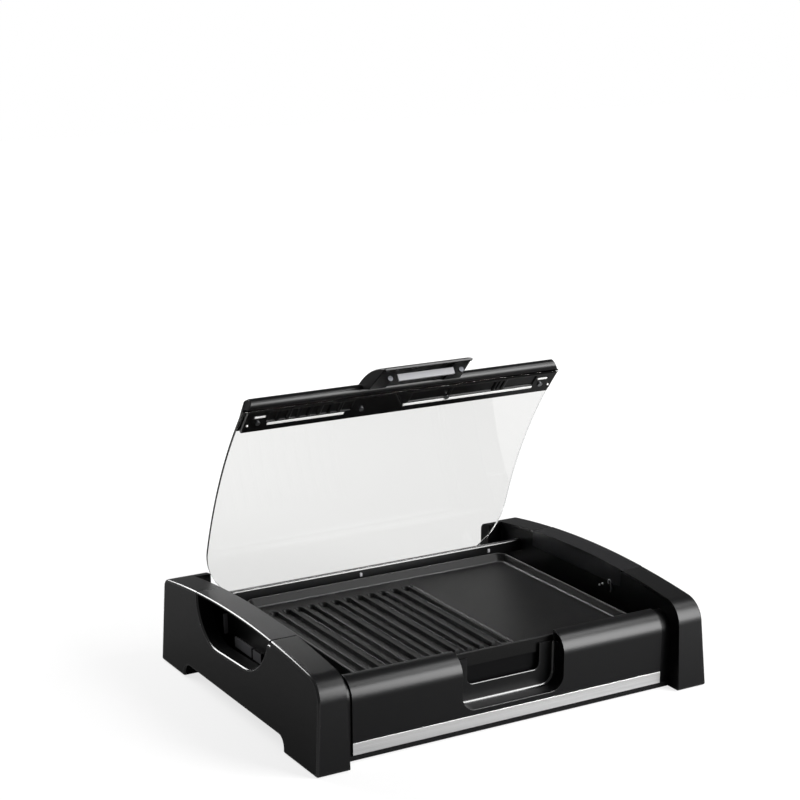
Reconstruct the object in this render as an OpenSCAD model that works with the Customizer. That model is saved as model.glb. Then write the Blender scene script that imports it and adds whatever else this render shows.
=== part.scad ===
// Electric indoor grill: two side housings carry a base with a lift-out cast
// plate over a tubular heater, under an arched tempered-glass lid on a rear hinge.
// Millimetres. +X to the right, +Y to the back, +Z up, origin on the table under
// the middle. The lid is drawn shut and then turned up to its open rest pose.

/* [Overall] */
// Width over the two side housings at their feet
overall_w = 540; // [520:5:580]
// Depth of the side housings
overall_d = 420; // [410:5:440]
// Height of the crest of the side housings
crest_z = 123; // [121:1:130]
// Width of one side housing at its foot
side_w = 42; // [40:1:48]

/* [Side housings] */
// Wall thickness of the moulded shells
wall = 3; // [2.4:0.2:3.4]
// Lean of a housing's outer face, in degrees
side_lean = 4.3; // [2:0.1:6]
// Lean of a housing's front face, in degrees
front_lean = 3.8; // [1:0.1:6]
// Radius of a housing's arched top, seen from the side
arch_r = 1388; // [1200:20:1700]
// Radius of the front top corner
front_corner = 30; // [24:1:32]
// Radius of the rear top corner
rear_corner = 10; // [7:1:14]
// Length of the front foot
front_foot = 82; // [70:1:90]
// Length of the rear foot
rear_foot = 68; // [60:1:76]
// Height of the arch between the feet
foot_arch_h = 18; // [14:1:22]
// Length of the hand opening
hand_len = 190; // [170:2:196]
// Height of the lowest point of the hand opening
hand_low = 61; // [56:1:68]
// Thickness of the grip's top skin
grip_t = 4; // [3:0.2:5]

/* [Base] */
// Gap between the table and the base
base_clear = 6; // [4:0.5:8]
// Height of the front panel
panel_top = 97; // [95:0.5:97.5]
// Radius of the panel's rounded top edge
panel_round = 25; // [18:1:28]
// Half width of the finger cut-out in the panel
cutout_half = 70; // [60:1:80]
// Height of the bottom of the cut-out
cutout_low = 29.5; // [27:0.5:36]
// Corner radius of the cut-out
cutout_r = 18; // [10:1:20]
// Height of the bright strip along the foot of the panel
strip_h = 15; // [10:1:18]
// Height of the rail behind the plate
rail_top = 99.5; // [98.5:0.5:101]

/* [Grill plate] */
// Height of the cooking surface
cook_z = 80; // [78:0.5:82]
// Height of the rim above the cooking surface
rim_h = 10; // [8:0.5:11]
// Number of ribs
rib_count = 12; // [6:1:13]
// Spacing of the ribs
rib_pitch = 17; // [14:0.5:17]
// Width of a groove between two ribs
groove_w = 9; // [7:0.5:10]
// Depth of a groove
groove_d = 3.5; // [2:0.25:4]

/* [Heater] */
// Radius of the heater tube
tube_r = 3.3; // [2.8:0.1:3.6]
// Spacing of the heater's runs
run_pitch = 50; // [44:1:54]

/* [Lid] */
// Angle from shut to open
lid_open = 64.4; // [40:0.2:65]
// Inner radius of the arched glass
glass_r = 600; // [560:10:700]
// Thickness of the glass
glass_t = 4; // [3:0.5:5]
// Radius of the glass's rear corners, in plan
glass_corner = 80; // [60:2:84]
// Half width of the lid handle
handle_half = 60; // [54:1:66]
// Radius of a hinge pin
pin_r = 4; // [3:0.25:4.5]

/* [Hidden] */

$fn = 64;
eps = 0.01;
tall = 200;                        // longer than any piece is high, for cutters
fit = 0.2;                         // gap between pieces that are fixed together
run_fit = 0.05;                    // radial gap of an arm on its pin

black = "#1f1f21";
deep = "#161617";
dark = "#2b2b2d";
steel = "#c9cacc";

half_w = overall_w / 2;
half_d = overall_d / 2;
inner_x = half_w - side_w;         // inner face of a side housing
arch_c = crest_z - arch_r;         // height of the centre of the arched top

// feet
sole_z = 1;
pad_r = 9;
pad_h = 2;
pad_x = half_w - side_w / 2;
pad_ys = [-half_d + 38, half_d - 32];
foot_round = 14;
gap_front = -half_d + front_foot;
gap_back = half_d - rear_foot;

// hand opening and grip, [y, z]
hand_y = 16;
hand_rf = 53.5;
hand_rb = 51;
hand_front = hand_y - hand_len / 2;
hand_back = hand_y + hand_len / 2;
grip_front = hand_front - 5;
grip_back = hand_back + 2.5;
grip_low = 104;
flange_low = 97.5;                 // lower edge of the grip's inner flange
inner_t = 2.6;                     // thickness of an inner wall

// base
panel_y = -half_d + 20;
panel_back = panel_y + panel_round;
shoulder_z = panel_top - panel_round;
panel_low = base_clear + 2;
panel_x = inner_x - 14;
panel_t = 3;
cheek_back = 2.6;                  // setback of the panel's narrow ends
cheek_t = 2.4;
notch_half = 50;
notch_low = 52;
rail_y = half_d - 70.5;
rail_t = 7.5;
rail_low = rail_top - 15.5;
wall_half = inner_x - 34;          // half length of the wall under the rail
tray_t = 3;
screw_z = base_clear + 22;          // screws through an inner wall into the tray
wall_screws = [-130, -40, 40, 120];
tray_back = half_d - 5;
floor_z = base_clear + tray_t;
ear_x = inner_x - 21;
ear_y = half_d - 20;
cover_x = ear_x - 0.5;
cover_top = 43;

// grill plate and what carries it
plate_x = inner_x - 37;
plate_front = panel_back + 2;
plate_back = rail_y - 8.5;
plate_corner = 14;
rim_z = cook_z + rim_h;
front_rim_z = cook_z + 4;
plate_low = cook_z - 7;
rib_x = -plate_x + 15.5;           // crest line of the first rib
groove_front = plate_front + 32;
groove_back = plate_back - 38;
sheet_t = 1;
pan_z = 20;
pan_in = 3;                        // how far the pan stays inside the plate's edge
drip_h = 18;
drip_in = 16;                      // how far the fat tray stays inside the plate's edge
drip_back = plate_back - 36;
elem_z = plate_low - 9;
run_xs = [for (i = [0:2]) run_pitch * (i + 0.5)];
run_front = plate_front + 66;
run_back = drip_back - 20;
bend_r = 14;
exit_z = 32;
exit_y = drip_back + 5 + 2 * bend_r;
socket_half = run_xs[0] + 12;
socket_y = tray_back - 20;

// lid, drawn shut
hinge_y = rail_y + 4.8;
hinge_z = rail_top - 44.4;
rail_gap = 1.2;                    // glass over the rail's rear edge
frame_gap = 0.4;                   // front frame over the panel
rail_back = rail_y + rail_t;
glass_front = panel_back + 5;
glass_back = rail_back + 5;
glass_x = inner_x - 8;
lid_mid = (glass_front + glass_back) / 2 + 2;
lid_c = rail_top + rail_gap - sqrt(pow(glass_r, 2) - pow(rail_back - lid_mid, 2));
frame_x = glass_x - 4;
frame_rear = glass_front + 36;
frame_low = panel_top + frame_gap;
nose_r = 7;
nose = [glass_front - 5, frame_low + nose_r];                       // centre of the nose
brow = [nose[0] + 26, glass_z(nose[0] + 26, glass_t + 3.6)];        // where the frame's top turns down
retainer_t = 3.4;
screw_xs = [-frame_x + 18, -60, 60, frame_x - 18];
screw_y = glass_front + 19;          // screws through the retainer
arm_t = 6;
arm_x = inner_x - 31;              // inner side of a hinge arm
eye_r = pin_r + 5;
boss_r = pin_r + 7;
clamp_y = rail_back + 1.5;
clamp_d = 8.5;
hook = [panel_y - 1, panel_top - 15];
hook_r = 22.5;
curl = hook + [-1, -2];             // centre of the curl's inner face
curl_r = hook_r - 8;
handle_flare = 5;                  // degrees by which the handle's ends spread towards the frame

// Height of the shut glass's lower face at y, raised by off along the radius
function glass_z(y, off = 0) = lid_c + sqrt(pow(glass_r + off, 2) - pow(y - lid_mid, 2));

// Centre of a corner of radius r between the arched top and the end line that
// runs through p along d, with n its inward normal
function corner(p, d, n, r) =
    let (q = p + r * n - [0, arch_c], b = q * d)
    p + r * n + (sqrt(b * b - q * q + pow(arch_r - r, 2)) - b) * d;

front_n = [cos(front_lean), -sin(front_lean)];
front_c = corner([-half_d, sole_z], [sin(front_lean), cos(front_lean)], front_n, front_corner);
rear_n = [-1, 0];
rear_c = corner([half_d, 0], [0, 1], rear_n, rear_corner);

module mirrored() {
    children();
    mirror([1, 0, 0]) children();
}

// A bar along X from its [y, z] section
module along_x(x0, x1) {
    translate([x0, 0, 0]) rotate([90, 0, 90]) linear_extrude(x1 - x0) children();
}

// A cylinder along X
module rod_x(x0, x1, y, z, r) {
    translate([x0, y, z]) rotate([0, 90, 0]) cylinder(h = x1 - x0, r = r);
}

// A rectangle over x = +-hx from y0 to y1, with round corners
module round_rect(hx, y0, y1, r) {
    translate([-hx + r, y0]) square([2 * (hx - r), y1 - y0]);
    translate([-hx, y0 + r]) square([2 * hx, y1 - y0 - 2 * r]);
    for (x = [-hx + r, hx - r], y = [y0 + r, y1 - r]) translate([x, y]) circle(r);
}

// A pan-head screw along +Z: its head starts at the origin
module screw(len, r = 1.6) {
    translate([0, 0, -len]) cylinder(h = len, r = r);
    cylinder(h = 1.6, r = 2 * r);
}

// Turns the shut lid about its hinge to the open rest pose
module lid_pose() {
    translate([0, hinge_y, hinge_z]) rotate([-lid_open, 0, 0])
        translate([0, -hinge_y, -hinge_z]) children();
}

// ---------- side housings ----------

// Side view of a housing, inset by i: an arched top between two round corners
module side_outline(i = 0) {
    far = arch_r + 40;
    top = [0, arch_c];
    intersection() {
        translate(top) circle(arch_r - i, $fn = 1440);
        polygon([[-half_d, sole_z] + i * front_n, front_c - (front_corner - i) * front_n, front_c,
            top + far * (front_c - top) / norm(front_c - top),
            top + far * (rear_c - top) / norm(rear_c - top),
            rear_c, rear_c - (rear_corner - i) * rear_n, [half_d, sole_z] + i * rear_n]);
    }
    translate(front_c) circle(front_corner - i);
    translate(rear_c) circle(rear_corner - i);
}

// Solid form of the right housing from x0 outward, inset by i
module side_form(i = 0, x0 = inner_x) {
    lean = tan(side_lean);
    shift = i / cos(side_lean);
    intersection() {
        along_x(x0, half_w + 1) side_outline(i);
        translate([0, half_d + 1, 0]) rotate([90, 0, 0]) linear_extrude(overall_d + 2)
            polygon([[x0, sole_z + i], [half_w - shift - lean * i, sole_z + i],
                [half_w - shift - lean * 140, sole_z + 140], [x0, sole_z + 140]]);
    }
}

// Gap between the feet, grown by g
module foot_gap(g = 0) {
    r = foot_round + g;
    top = foot_arch_h + g;
    y0 = gap_front - g;
    y1 = gap_back + g;
    along_x(inner_x - 5, half_w + 5) {
        translate([y0, -10]) square([y1 - y0, 10 + top - r]);
        translate([y0 + r, -10]) square([y1 - y0 - 2 * r, 10 + top]);
        for (y = [y0 + r, y1 - r]) translate([y, top - r]) circle(r);
    }
}

// Hand opening, grown by g, as a bar from x0 outward
module hand_opening(x0, g = 0) {
    cf = [hand_front + hand_rf, hand_low + hand_rf];
    cb = [hand_back - hand_rb, hand_low + hand_rb];
    along_x(x0, half_w + 5) {
        translate(cf) circle(hand_rf + g);
        translate(cb) circle(hand_rb + g);
        translate([cf[0], hand_low - g]) square([cb[0] - cf[0], 80]);
        translate([hand_front - g, cf[1]]) square([hand_len + 2 * g, 40]);
    }
}

// The stretch of the crest that the grip takes, shortened by g at each end
module grip_zone(g = 0, low = grip_low) {
    translate([inner_x - 5, grip_front + g, low])
        cube([side_w + 10, grip_back - grip_front - 2 * g, 60]);
}

// Moulded shell, open towards the base, with a collar round the hand opening
module side_housing() {
    difference() {
        union() {
            difference() {
                side_form();
                difference() {
                    side_form(wall, inner_x - 1);
                    foot_gap(wall);
                }
            }
            intersection() {
                side_form(0.5);
                difference() {
                    hand_opening(half_w - 20, 2.4);
                    hand_opening(half_w - 21);
                }
            }
        }
        foot_gap();
        hand_opening(half_w - 25);
        grip_zone();
        for (y = pad_ys) translate([pad_x, y, 0]) cylinder(h = pad_h, r = pad_r + fit);
    }
}
module left_side_housing() { color(black) mirror([1, 0, 0]) side_housing(); }
module right_side_housing() { color(black) side_housing(); }

// Hand grip: a skin that carries on the crest, an inner flange and a core
module grip() {
    intersection() {
        grip_zone(fit, flange_low + fit);
        side_form();
        union() {
            along_x(inner_x, half_w) difference() {
                side_outline();
                side_outline(grip_t);
            }
            along_x(inner_x, inner_x + inner_t) side_outline();
            intersection() {
                along_x(inner_x + 8, inner_x + 22) side_outline(1);
                grip_zone(12, grip_low);
            }
        }
    }
}
module left_grip() { color("#3a3a3d") mirror([1, 0, 0]) grip(); }
module right_grip() { color("#3a3a3d") grip(); }

// Wall that closes a housing towards the plate, with the ear at the rear and
// the boss that holds the hinge pin
module inner_wall() {
    difference() {
        union() {
            difference() {
                intersection() {
                    along_x(inner_x, inner_x + inner_t) side_outline(wall + fit);
                    translate([0, -half_d, sole_z + wall + fit]) cube([half_w, overall_d, tall]);
                }
                foot_gap(wall + fit);
                grip_zone(-fit, flange_low);
            }
            difference() {
                intersection() {
                    along_x(ear_x, inner_x) side_outline();
                    translate([0, ear_y, base_clear]) cube([half_w, 40, tall]);
                }
                intersection() {
                    along_x(ear_x + 2.4, inner_x) side_outline(2.4);
                    translate([0, ear_y + 2.4, 0]) cube([half_w, 40, tall]);
                }
            }
            rod_x(inner_x - 22, inner_x + eps, hinge_y, hinge_z, boss_r);
            for (b = [[hand_y + 6, 46, 57], [hand_y - 19, 22, 58]])
                translate([inner_x + inner_t - eps, b[0], b[2]]) cube([3, b[1], 13]);
        }
        rod_x(inner_x - 23, inner_x + 5, hinge_y, hinge_z, pin_r + 0.02);
        for (y = wall_screws) rod_x(inner_x - 1, inner_x + 4, y, screw_z, 1.7);
    }
}
module left_inner_wall() { color(deep) mirror([1, 0, 0]) inner_wall(); }
module right_inner_wall() { color(deep) inner_wall(); }

// Rubber pads, each pressed into the sole of a foot
module foot_pads() {
    color("#101011") mirrored() for (y = pad_ys) translate([pad_x, y, 0]) cylinder(h = pad_h, r = pad_r);
}

// Screws through the inner walls into the sides of the base
module housing_screws() {
    color(steel) mirrored() for (y = wall_screws)
        translate([inner_x + inner_t, y, screw_z]) rotate([0, 90, 0]) screw(inner_t + tray_t);
}

// ---------- base ----------

// Moulded tray between the housings
module base_tray() {
    front = panel_y + panel_t + fit;
    color(black) difference() {
        union() {
            translate([-inner_x, front, base_clear]) cube([2 * inner_x, ear_y - 0.5 - front, 34]);
            translate([-cover_x, 0, base_clear]) cube([2 * cover_x, tray_back, tray_t]);
            translate([-inner_x, panel_y, 2]) cube([2 * inner_x, 6, panel_low - 2 - fit / 2]);
        }
        translate([-inner_x + tray_t, front + tray_t, floor_z])
            cube([2 * (inner_x - tray_t), overall_d, 60]);
        translate([-cutout_half - 4, front - 1, cutout_low - 3.5]) cube([2 * cutout_half + 8, 20, 60]);
        mirrored() translate([panel_x - 2 - fit, front - 1, panel_low - fit / 2])
            cube([side_w, 1 + cheek_back + cheek_t - panel_t, 60]);
        for (x = [-150:25:150], y = [-100, -20, 60]) translate([x - 2, y, 0]) cube([4, 44, 30]);
        mirrored() for (y = wall_screws) rod_x(inner_x - 6, inner_x + 1, y, screw_z, 1.7);
    }
}

// Filled side view of the panel, inset by i
module panel_view(i = 0) {
    translate([panel_y + i, panel_low]) square([panel_round - i, shoulder_z - panel_low]);
    intersection() {
        translate([panel_back, shoulder_z]) circle(panel_round - i, $fn = 180);
        translate([panel_y, shoulder_z - 1]) square([panel_round, panel_round + 2]);
    }
}

// Hook-shaped section of the panel: face, round top and a rear flange
module panel_section(i, t) {
    difference() {
        panel_view(i);
        translate([0, -eps]) panel_view(i + t);
    }
    translate([panel_back - 2.4, front_rim_z]) square([2.4, panel_top - i - 2 - front_rim_z]);
}

// U of the finger cut-out, grown by g, from y0 to y1
module finger_cut(g, y0, y1) {
    r = cutout_r + g;
    h = cutout_half + g;
    low = cutout_low - g;
    translate([0, y1, 0]) rotate([90, 0, 0]) linear_extrude(y1 - y0) {
        translate([-h, low + r]) square([2 * h, 120]);
        translate([-h + r, low]) square([2 * (h - r), 100]);
        for (x = [-h + r, h - r]) translate([x, low + r]) circle(r);
    }
}

// Face of the base, with set-back ends and the finger cut-out
module front_panel() {
    color(black) difference() {
        union() {
            along_x(-panel_x, panel_x) panel_section(0, panel_t);
            mirrored() along_x(panel_x - 2, inner_x) panel_section(cheek_back, cheek_t);
        }
        finger_cut(0, panel_y - 5, panel_back + 5);
        translate([-panel_x, panel_y - 1, panel_low]) cube([2 * panel_x, 1.8, strip_h]);
    }
}

// Brushed strip let into the foot of the panel
module trim_strip() {
    color(steel) translate([-panel_x + 0.1, panel_y - 0.2, panel_low + 0.1])
        cube([2 * panel_x - 0.2, 1, strip_h - 0.2]);
}

// Scoop behind the cut-out, with a notched back wall for the fingertips
module recess_wall() {
    y0 = panel_y + panel_t;
    y1 = panel_back + 0.4;
    r = 8;
    color(black) difference() {
        intersection() {
            finger_cut(2.4, y0 + fit, y1);
            along_x(-100, 100) panel_view(panel_t + fit);
            translate([-100, y0, 0]) cube([200, 60, front_rim_z]);
        }
        finger_cut(0, y0 - 1, y1 - 3);
        translate([0, y1 + 1, 0]) rotate([90, 0, 0]) linear_extrude(12) {
            translate([-notch_half, notch_low + r]) square([2 * notch_half, 60]);
            translate([-notch_half + r, notch_low]) square([2 * (notch_half - r), 60]);
            for (x = [-notch_half + r, notch_half - r]) translate([x, notch_low + r]) circle(r);
        }
    }
}

// Upright wall behind the heater pan, between the hinge arms
module rear_wall() {
    color(black) difference() {
        translate([-wall_half, rail_y, floor_z]) cube([2 * wall_half, 3, rail_low - floor_z]);
        for (s = [-1, 1]) translate([s * run_xs[0], rail_y - 1, exit_z]) rotate([-90, 0, 0])
            cylinder(h = 6, r = tube_r + 1);
    }
}

// Rail that closes the rear of the deck from housing to housing
module rear_rail() {
    r = 2;
    color(black) along_x(-inner_x, inner_x) {
        translate([rail_y, rail_low]) square([rail_t, rail_top - rail_low - r]);
        translate([rail_y + r, rail_low]) square([rail_t - 2 * r, rail_top - rail_low]);
        for (y = [rail_y + r, rail_y + rail_t - r]) translate([y, rail_top - r]) circle(r);
    }
}

// Two studs on the rail's front face that keep the plate square
module rail_studs() {
    color("#9a9b9d") for (x = [-20, 175]) translate([x - 2, rail_y - 2, rail_low + 4]) cube([4, 2, 10]);
}

// Low cover over the terminals behind the rear wall
module rear_cover() {
    y0 = rail_y + 3;
    color(black) difference() {
        translate([-cover_x, y0, floor_z]) cube([2 * cover_x, tray_back - y0, cover_top - floor_z]);
        translate([-cover_x + 2.4, y0 - 1, floor_z - 1])
            cube([2 * (cover_x - 2.4), tray_back - y0 - 1.4, cover_top - floor_z - 1.4]);
        translate([-socket_half - fit, socket_y, exit_z - 12 - fit])
            cube([2 * (socket_half + fit), 40, 20 + 2 * fit]);
        for (i = [0:9], s = [-1, 1]) translate([s * (70 + 12 * i) - 2, tray_back - 10, floor_z + 8])
            cube([4, 20, 16]);
    }
}

// Inlet for the plug-in heat control: a shroud round the two contact pins
module control_socket() {
    color(dark) difference() {
        translate([-socket_half, socket_y, exit_z - 12]) cube([2 * socket_half, 20, 20]);
        translate([-socket_half + 2.4, socket_y + 4, exit_z - 9.6]) cube([2 * socket_half - 4.8, 20, 15.2]);
        for (s = [-1, 1]) translate([s * run_xs[0], socket_y - 1, exit_z]) rotate([-90, 0, 0])
            cylinder(h = 8, r = 2.6);
    }
}

// Contact pins on the heater's cold ends
module terminal_pins() {
    color("#d8c79a") for (s = [-1, 1]) translate([s * run_xs[0], socket_y - 5, exit_z]) rotate([-90, 0, 0]) {
        cylinder(h = 21, r = 2.5);
        translate([0, 0, 21]) cylinder(h = 1.4, r1 = 2.5, r2 = 1.2);
    }
}

// Folded brackets that stand the pan on the base
module pan_supports() {
    color("#8b8c8e") for (s = [-1, 1], y = [plate_front + 30, plate_back - 50])
        translate([s * (plate_x - 45) - 12, y, floor_z]) difference() {
            cube([24, 18, pan_z - floor_z]);
            translate([1.2, -1, -1]) cube([21.6, 20, pan_z - floor_z - 0.2]);
        }
}

// Enamelled pan round the heater; its turned-out edge carries the plate
module heat_reflector() {
    hx = plate_x - pan_in;
    y0 = plate_front + pan_in;
    y1 = plate_back - pan_in;
    color("#303033") difference() {
        union() {
            translate([0, 0, pan_z]) linear_extrude(plate_low - pan_z)
                round_rect(hx, y0, y1, plate_corner - pan_in);
            translate([0, 0, plate_low - sheet_t]) linear_extrude(sheet_t)
                round_rect(plate_x, plate_front, plate_back, plate_corner);
        }
        translate([0, 0, pan_z + sheet_t]) linear_extrude(80)
            round_rect(hx - sheet_t, y0 + sheet_t, y1 - sheet_t, plate_corner - pan_in - sheet_t);
        for (s = [-1, 1]) translate([s * run_xs[0], y1 - 3, exit_z]) rotate([-90, 0, 0])
            cylinder(h = 6, r = tube_r + 1);
    }
}

// Pressed tray that catches the fat under the heater
module drip_tray() {
    hx = plate_x - drip_in;
    y0 = plate_front + drip_in;
    z0 = pan_z + sheet_t;
    color("#8f9092") difference() {
        union() {
            translate([0, 0, z0]) linear_extrude(drip_h) round_rect(hx, y0, drip_back, 18);
            translate([0, 0, z0 + drip_h - sheet_t]) linear_extrude(sheet_t)
                round_rect(hx + 5, y0 - 5, drip_back + 3, 21);
        }
        translate([0, 0, z0 + sheet_t]) linear_extrude(drip_h)
            round_rect(hx - sheet_t, y0 + sheet_t, drip_back - sheet_t, 17);
    }
}

// A bend of the tube in the XY plane: centre, start angle and sweep
module bend(x, y, a0, sweep, r) {
    translate([x, y, elem_z]) rotate([0, 0, a0]) rotate_extrude(angle = sweep)
        translate([r, 0]) circle(tube_r, $fn = 32);
}

// Tubular heater: six runs joined by bends, its ends turned down and out
module heating_element() {
    r = run_pitch / 2;
    color("#4f4a45") mirrored() {
        for (i = [0:2]) {
            y0 = i == 2 ? run_front - 20 : run_front;
            y1 = i == 0 ? exit_y - 2 * bend_r : run_back;
            translate([run_xs[i], y0, elem_z]) rotate([-90, 0, 0]) cylinder(h = y1 - y0, r = tube_r);
        }
        bend(run_xs[0] + r, run_front, 180, 180, r);
        bend(run_xs[1] + r, run_back, 0, 180, r);
        bend(run_xs[2] - r, run_front - 20, -90, 90, r);
        translate([-eps, run_front - 20 - r, elem_z]) rotate([0, 90, 0])
            cylinder(h = run_xs[2] - r + eps, r = tube_r);
        translate([run_xs[0], exit_y - 2 * bend_r, elem_z - bend_r]) rotate([90, 0, 90])
            rotate_extrude(angle = 90) translate([bend_r, 0]) circle(tube_r, $fn = 32);
        translate([run_xs[0], exit_y - bend_r, exit_z + bend_r])
            cylinder(h = elem_z - exit_z - 2 * bend_r, r = tube_r);
        translate([run_xs[0], exit_y, exit_z + bend_r]) rotate([90, 0, 90]) rotate([0, 0, 180])
            rotate_extrude(angle = 90) translate([bend_r, 0]) circle(tube_r, $fn = 32);
        translate([run_xs[0], exit_y, exit_z]) rotate([-90, 0, 0])
            cylinder(h = socket_y - 5 - exit_y, r = tube_r);
    }
}

// Sheet brackets from the pan's sides that cradle the outer runs
module element_clips() {
    x1 = plate_x - pan_in - sheet_t;
    color(steel) mirrored() for (y = [run_front + 20, run_back - 20]) difference() {
        translate([run_xs[2] - 6, y, elem_z - tube_r - 4]) cube([x1 - run_xs[2] + 6, 12, 7]);
        translate([run_xs[2] + 8, y - 1, elem_z - tube_r - 2.8]) cube([x1 - run_xs[2] - 9.2, 14, 20]);
        translate([run_xs[2], y - 1, elem_z]) rotate([-90, 0, 0]) cylinder(h = 14, r = tube_r + 0.02);
    }
}

// Cast plate: a rim, ribs with grooves that drain to the front, and a flat side
module grill_plate() {
    last = rib_x + (rib_count - 0.5) * rib_pitch;
    color("#39393b") difference() {
        translate([0, 0, plate_low]) linear_extrude(rim_z - plate_low)
            round_rect(plate_x, plate_front, plate_back, plate_corner);
        hull() {
            translate([0, 0, cook_z]) linear_extrude(0.1)
                round_rect(plate_x - 6, plate_front + 6, plate_back - 8, plate_corner - 6, $fn = 32);
            translate([0, 0, rim_z]) linear_extrude(0.1)
                round_rect(plate_x - 2.5, plate_front + 2.5, plate_back - 2.5, plate_corner - 2.5, $fn = 32);
        }
        translate([-plate_x + 22, plate_front - 1, front_rim_z]) cube([2 * plate_x - 44, 12, 40]);
        for (i = [0:rib_count - 1]) translate([rib_x + (i + 0.5) * rib_pitch, 0, cook_z - groove_d])
            linear_extrude(10) polygon(concat(
                [[-groove_w / 2, groove_front - eps], [groove_w / 2, groove_front - eps]],
                [for (a = [0:30:180]) [0, groove_back] + groove_w / 2 * [cos(a), sin(a)]]));
        translate([rib_x - 4, plate_front + 16, cook_z - groove_d])
            cube([last - rib_x + 4 + groove_w / 2, groove_front - plate_front - 16, 10]);
        translate([rib_x + 10, plate_front + 24, 0]) cylinder(h = 120, r = 5);
    }
}

// ---------- hinge pins ----------

// Shouldered pin from the boss on a housing into the arm's eye
module hinge_pin() {
    rod_x(arm_x - 1, inner_x + inner_t, hinge_y, hinge_z, pin_r);
    rod_x(arm_x - 2.5, arm_x - 0.6, hinge_y, hinge_z, pin_r + 2);
}
module left_hinge_pin() { color(steel) mirror([1, 0, 0]) hinge_pin(); }
module right_hinge_pin() { color(steel) hinge_pin(); }

// ---------- lid, drawn shut ----------

// Band between two radii about the lid's centre, from y0 to y1, in [y, z]
module lid_band(r0, r1, y0, y1) {
    intersection() {
        difference() {
            translate([lid_mid, lid_c]) circle(r1, $fn = 1440);
            translate([lid_mid, lid_c]) circle(r0, $fn = 1440);
        }
        translate([y0, 20]) square([y1 - y0, 160]);
    }
}

// Arched glass with large rear corners
module lid_glass() {
    c = glass_corner;
    color("#dfe6e8", 0.4) lid_pose() difference() {
        along_x(-glass_x, glass_x) lid_band(glass_r, glass_r + glass_t, glass_front, glass_back);
        mirrored() translate([glass_x - c, glass_back - c, 0]) linear_extrude(tall) difference() {
            square(c + 5);
            circle(c + 0.05, $fn = 180);
        }
    }
}

// Plan of the front frame: ends that draw in towards the nose
module frame_plan(g = 0) {
    y0 = glass_front - 16;
    polygon([[-frame_x - 2 + g, frame_rear], [-frame_x + g, y0 + 12], [-frame_x + 7 + g, y0],
        [frame_x - 7 - g, y0], [frame_x - g, y0 + 12], [frame_x + 2 - g, frame_rear]]);
}

// Point on the frame's round nose at angle a of the [y, z] plane
function nose_point(a) = nose + nose_r * [cos(a), sin(a)];

// Section of the frame: a round nose in front of the glass and a cap that fits the glass
module frame_section() {
    seat = glass_front - 0.1;
    polygon(concat(
        [for (a = [90:15:300]) nose_point(a)],
        [for (i = [0:6]) let (y = seat + i * (frame_rear - seat) / 6) [y, glass_z(y, glass_t + 0.02)]],
        [[frame_rear, glass_z(frame_rear, glass_t + 2.4)], brow]));
}

// Moulded frame over the front edge of the glass
module lid_front_frame() {
    color(black) lid_pose() intersection() {
        along_x(-frame_x - 5, frame_x + 5) frame_section();
        linear_extrude(tall) frame_plan();
    }
}

// Inner retainer that clamps the glass to the frame, with a row of pockets
module lid_retainer() {
    color(deep) lid_pose() difference() {
        intersection() {
            along_x(-frame_x - 5, frame_x + 5)
                lid_band(glass_r - retainer_t, glass_r, glass_front, frame_rear - 1);
            linear_extrude(tall) frame_plan(2);
        }
        for (i = [0:8]) translate([-glass_x + 34 + 13 * i, frame_rear - 29, 0])
            cube([9, 14, glass_z(frame_rear - 29) - retainer_t + 1.4]);
        mirrored() translate([frame_x - 27, glass_front + 9, 0])
            cube([15, 3, glass_z(glass_front + 9) - retainer_t + 1.4]);
        at_lid_screws() translate([0, 0, -1]) cylinder(h = 10, r = 1.7);
    }
}

// Places a screw square to the retainer's inner face, +Z pointing into the glass
module at_lid_screws() {
    for (x = screw_xs) translate([x, lid_mid, lid_c])
        rotate([asin((lid_mid - screw_y) / glass_r), 0, 0])
        translate([0, 0, glass_r - retainer_t]) children();
}

// Bright bead along the rear of the retainer
module lid_trim_line() {
    color(steel) lid_pose() for (s = [[-190, -110], [-58, 60], [66, 190]]) along_x(s[0], s[1])
        lid_band(glass_r - retainer_t - 0.9, glass_r - retainer_t - 0.1, frame_rear - 9, frame_rear - 6.5);
}

// Hooked handle that laps over the nose of the frame
module lid_handle() {
    tip = 243;
    top = nose_point(90);
    root = top + 0.75 * (brow - top);
    color(black) lid_pose() difference() {
        along_x(-handle_half - 10, handle_half + 10) polygon(concat(
            [root, root + [0, 1.2], top + [0, 1.8]],
            [for (i = [0:20]) let (a = 93 + i * (tip - 93) / 20) hook + hook_r * [cos(a), sin(a)]],
            [for (i = [0:24]) let (a = tip - i * (tip - 60) / 24) curl + curl_r * [cos(a), sin(a)]],
            [for (a = [210:-15:90]) nose_point(a)]));
        mirrored() translate([handle_half, hook[0] - hook_r - 1, 0]) rotate([0, 0, -handle_flare])
            cube([40, 100, tall]);
    }
}

// Places a piece on the inner side of the curl: +Y points into the curl's wall
module in_curl() {
    lid_pose() translate([0, curl[0], curl[1]]) rotate([211, 0, 0]) children();
}

// Grey bar set across the inside of the curl
module handle_bar() {
    color("#8d8d90") in_curl() translate([-38.5, curl_r - 3.5, -4]) cube([77, 2.9, 8]);
}

// Screws at both ends of the bar
module handle_screws() {
    color(steel) in_curl() for (x = [-49, 49]) translate([x, curl_r - 2.6, 0])
        rotate([-90, 0, 0]) cylinder(h = 2.2, r = 3.2);
}

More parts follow.
